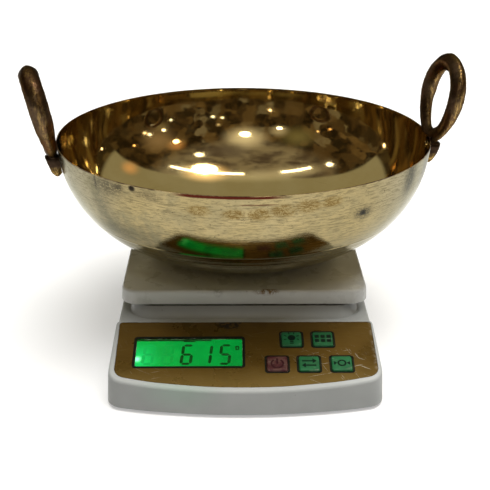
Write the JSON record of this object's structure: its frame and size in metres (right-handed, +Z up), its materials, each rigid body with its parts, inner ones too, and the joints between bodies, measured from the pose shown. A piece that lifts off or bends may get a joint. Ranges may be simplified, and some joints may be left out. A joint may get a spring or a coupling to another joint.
{
  "type": "electronic weighing scale with brass bowl",
  "caption": "Compact electronic bench scale with a sloping keypad and backlit display, carrying a round-bottomed brass bowl with two upright ring handles.",
  "frame": {"origin": "on the ground, below the middle of the assembly's bounding box", "axes": "+Z up, -Y towards the display and keys, +X to the reader's right"},
  "size_m": [0.2866, 0.2684, 0.1882],
  "materials": {
    "white_plastic": "aged off-white ABS, satin",
    "platform_plastic": "aged off-white ABS, satin, stained",
    "base_plastic": "moulded ABS, matt",
    "gold_film": "dark gold printed film, worn",
    "window_acrylic": "clear window with a printed dark border",
    "display": "green backlit segment display",
    "light_guide": "white diffuser",
    "green_key": "green, satin",
    "red_key": "faded red, worn",
    "board": "green solder resist",
    "black_plastic": "black, matt",
    "rubber": "black, matt",
    "aluminium": "milled",
    "steel": "zinc plated",
    "potting": "white silicone",
    "cell_wrap": "shrink-wrapped steel can",
    "wire": "PVC insulation over copper",
    "brass": "brushed outside with stains, polished inside",
    "aged_brass": "cast, brown patina with bright worn edges"
  },
  "bodies": {
    "housing": {"top_shell": "white_plastic", "base_shell": "base_plastic", "load_cell": "aluminium", "gauge_potting": "potting", "cell_screw_1": "steel", "cell_screw_2": "steel", "faceplate": "gold_film", "display_window": "window_acrylic", "display_glass": "display", "display_backlight": "light_guide", "main_board": "board", "controller_blob": "black_plastic", "battery_1": "cell_wrap", "battery_2": "cell_wrap", "battery_spring_1": "steel", "battery_spring_2": "steel", "battery_contact_1": "steel", "battery_contact_2": "steel", "load_cell_lead": "wire", "battery_lead": "wire", "switch_light": "black_plastic", "switch_count": "black_plastic", "switch_power": "black_plastic", "switch_mode": "black_plastic", "switch_tare": "black_plastic", "foot_1": "rubber", "housing_screw_1": "steel", "foot_2": "rubber", "housing_screw_2": "steel", "foot_3": "rubber", "housing_screw_3": "steel", "foot_4": "rubber", "housing_screw_4": "steel"},
    "platform": {"platform": "platform_plastic", "platform_bracket": "aluminium", "bracket_screw_1": "steel", "bracket_screw_2": "steel"},
    "bowl": {"bowl": "brass", "handle_left": "aged_brass", "handle_right": "aged_brass", "rivet_left": "aged_brass", "rivet_right": "aged_brass"},
    "battery_door": {"battery_door": "base_plastic"},
    "key_light": {"key_light": "green_key"},
    "key_count": {"key_count": "green_key"},
    "key_power": {"key_power": "red_key"},
    "key_mode": {"key_mode": "green_key"},
    "key_tare": {"key_tare": "green_key"}
  },
  "joints": [
    {"name": "platform_press", "type": "slide", "parent": "housing", "child": "platform", "axis": [0, 0, 1], "range_m": [-0.0005, 0], "stiffness_N_per_m": 30000, "springref_m": 0.0004},
    {"name": "bowl_lift", "type": "slide", "parent": "platform", "child": "bowl", "axis": [0, 0, 1], "range_m": [0, 0.12]},
    {"name": "battery_door_slide", "type": "slide", "parent": "housing", "child": "battery_door", "axis": [0, 1, 0], "range_m": [0, 0.006]},
    {"name": "key_light_press", "type": "slide", "parent": "housing", "child": "key_light", "axis": [0, 0.2588, -0.9659], "range_m": [0, 0.0005], "stiffness_N_per_m": 2000, "springref_m": -0.0002},
    {"name": "key_count_press", "type": "slide", "parent": "housing", "child": "key_count", "axis": [0, 0.2588, -0.9659], "range_m": [0, 0.0005], "stiffness_N_per_m": 2000, "springref_m": -0.0002},
    {"name": "key_power_press", "type": "slide", "parent": "housing", "child": "key_power", "axis": [0, 0.2588, -0.9659], "range_m": [0, 0.0005], "stiffness_N_per_m": 2000, "springref_m": -0.0002},
    {"name": "key_mode_press", "type": "slide", "parent": "housing", "child": "key_mode", "axis": [0, 0.2588, -0.9659], "range_m": [0, 0.0005], "stiffness_N_per_m": 2000, "springref_m": -0.0002},
    {"name": "key_tare_press", "type": "slide", "parent": "housing", "child": "key_tare", "axis": [0, 0.2588, -0.9659], "range_m": [0, 0.0005], "stiffness_N_per_m": 2000, "springref_m": -0.0002}
  ]
}
